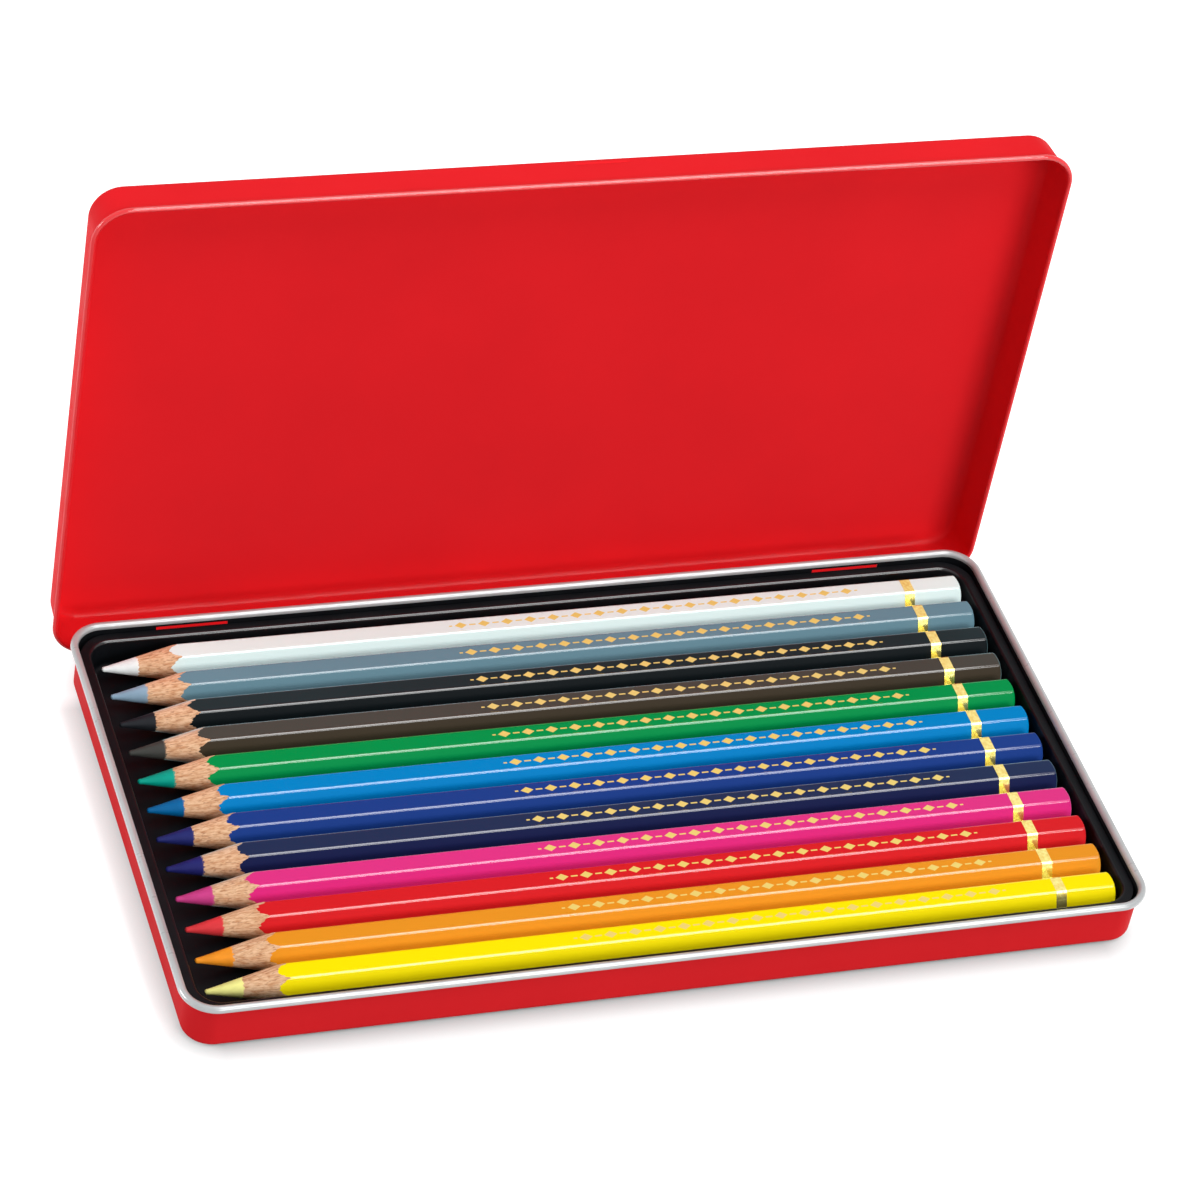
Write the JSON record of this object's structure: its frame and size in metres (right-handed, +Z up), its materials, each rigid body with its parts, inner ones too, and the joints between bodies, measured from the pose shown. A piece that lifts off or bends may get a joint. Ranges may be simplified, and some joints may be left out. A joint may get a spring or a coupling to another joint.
{
  "type": "coloured pencil box",
  "caption": "Flat hinged red tin, open, with a black tray that holds a row of sharpened hexagonal coloured pencils.",
  "frame": {"origin": "middle of the base's underside", "axes": "+X along the pencils from their tips to their rear ends, +Y towards the hinge, +Z up"},
  "size_m": [0.189, 0.1124, 0.1076],
  "materials": {
    "red_tinplate": "glossy red lacquer on tinplate, bare metal inside the base",
    "black_tray": "black thermoformed sheet, satin",
    "gold_foil": "hot-stamped gold foil",
    "white_lacquer": "gloss lacquer over cedar, bare wood on the sharpened cone",
    "white_pigment": "waxy pigment core",
    "slate_lacquer": "gloss lacquer over cedar, bare wood on the sharpened cone",
    "slate_pigment": "waxy pigment core",
    "black_lacquer": "gloss lacquer over cedar, bare wood on the sharpened cone",
    "black_pigment": "waxy pigment core",
    "brown_lacquer": "gloss lacquer over cedar, bare wood on the sharpened cone",
    "brown_pigment": "waxy pigment core",
    "green_lacquer": "gloss lacquer over cedar, bare wood on the sharpened cone",
    "green_pigment": "waxy pigment core",
    "sky_lacquer": "gloss lacquer over cedar, bare wood on the sharpened cone",
    "sky_pigment": "waxy pigment core",
    "blue_lacquer": "gloss lacquer over cedar, bare wood on the sharpened cone",
    "blue_pigment": "waxy pigment core",
    "navy_lacquer": "gloss lacquer over cedar, bare wood on the sharpened cone",
    "navy_pigment": "waxy pigment core",
    "magenta_lacquer": "gloss lacquer over cedar, bare wood on the sharpened cone",
    "magenta_pigment": "waxy pigment core",
    "red_lacquer": "gloss lacquer over cedar, bare wood on the sharpened cone",
    "red_pigment": "waxy pigment core",
    "orange_lacquer": "gloss lacquer over cedar, bare wood on the sharpened cone",
    "orange_pigment": "waxy pigment core",
    "yellow_lacquer": "gloss lacquer over cedar, bare wood on the sharpened cone",
    "yellow_pigment": "waxy pigment core"
  },
  "bodies": {
    "base": {"base_pan": "red_tinplate", "pencil_tray": "black_tray"},
    "lid": {"lid_shell": "red_tinplate"},
    "white_pencil": {"white_pencil_casing": "white_lacquer", "white_pencil_lead": "white_pigment", "white_pencil_band": "gold_foil"},
    "slate_pencil": {"slate_pencil_casing": "slate_lacquer", "slate_pencil_lead": "slate_pigment", "slate_pencil_band": "gold_foil"},
    "black_pencil": {"black_pencil_casing": "black_lacquer", "black_pencil_lead": "black_pigment", "black_pencil_band": "gold_foil"},
    "brown_pencil": {"brown_pencil_casing": "brown_lacquer", "brown_pencil_lead": "brown_pigment", "brown_pencil_band": "gold_foil"},
    "green_pencil": {"green_pencil_casing": "green_lacquer", "green_pencil_lead": "green_pigment", "green_pencil_band": "gold_foil"},
    "sky_pencil": {"sky_pencil_casing": "sky_lacquer", "sky_pencil_lead": "sky_pigment", "sky_pencil_band": "gold_foil"},
    "blue_pencil": {"blue_pencil_casing": "blue_lacquer", "blue_pencil_lead": "blue_pigment", "blue_pencil_band": "gold_foil"},
    "navy_pencil": {"navy_pencil_casing": "navy_lacquer", "navy_pencil_lead": "navy_pigment", "navy_pencil_band": "gold_foil"},
    "magenta_pencil": {"magenta_pencil_casing": "magenta_lacquer", "magenta_pencil_lead": "magenta_pigment", "magenta_pencil_band": "gold_foil"},
    "red_pencil": {"red_pencil_casing": "red_lacquer", "red_pencil_lead": "red_pigment", "red_pencil_band": "gold_foil"},
    "orange_pencil": {"orange_pencil_casing": "orange_lacquer", "orange_pencil_lead": "orange_pigment", "orange_pencil_band": "gold_foil"},
    "yellow_pencil": {"yellow_pencil_casing": "yellow_lacquer", "yellow_pencil_lead": "yellow_pigment", "yellow_pencil_band": "gold_foil"}
  },
  "joints": [
    {"name": "lid_hinge", "type": "hinge", "parent": "base", "child": "lid", "pos_m": [0, 0.05225, 0.0026], "axis": [-1, 0, 0], "range_deg": [-90, 0]},
    {"name": "white_pencil_lift", "type": "slide", "parent": "base", "child": "white_pencil", "axis": [0, 0, 1], "range_m": [0, 0.04]},
    {"name": "slate_pencil_lift", "type": "slide", "parent": "base", "child": "slate_pencil", "axis": [0, 0, 1], "range_m": [0, 0.04]},
    {"name": "black_pencil_lift", "type": "slide", "parent": "base", "child": "black_pencil", "axis": [0, 0, 1], "range_m": [0, 0.04]},
    {"name": "brown_pencil_lift", "type": "slide", "parent": "base", "child": "brown_pencil", "axis": [0, 0, 1], "range_m": [0, 0.04]},
    {"name": "green_pencil_lift", "type": "slide", "parent": "base", "child": "green_pencil", "axis": [0, 0, 1], "range_m": [0, 0.04]},
    {"name": "sky_pencil_lift", "type": "slide", "parent": "base", "child": "sky_pencil", "axis": [0, 0, 1], "range_m": [0, 0.04]},
    {"name": "blue_pencil_lift", "type": "slide", "parent": "base", "child": "blue_pencil", "axis": [0, 0, 1], "range_m": [0, 0.04]},
    {"name": "navy_pencil_lift", "type": "slide", "parent": "base", "child": "navy_pencil", "axis": [0, 0, 1], "range_m": [0, 0.04]},
    {"name": "magenta_pencil_lift", "type": "slide", "parent": "base", "child": "magenta_pencil", "axis": [0, 0, 1], "range_m": [0, 0.04]},
    {"name": "red_pencil_lift", "type": "slide", "parent": "base", "child": "red_pencil", "axis": [0, 0, 1], "range_m": [0, 0.04]},
    {"name": "orange_pencil_lift", "type": "slide", "parent": "base", "child": "orange_pencil", "axis": [0, 0, 1], "range_m": [0, 0.04]},
    {"name": "yellow_pencil_lift", "type": "slide", "parent": "base", "child": "yellow_pencil", "axis": [0, 0, 1], "range_m": [0, 0.04]}
  ]
}
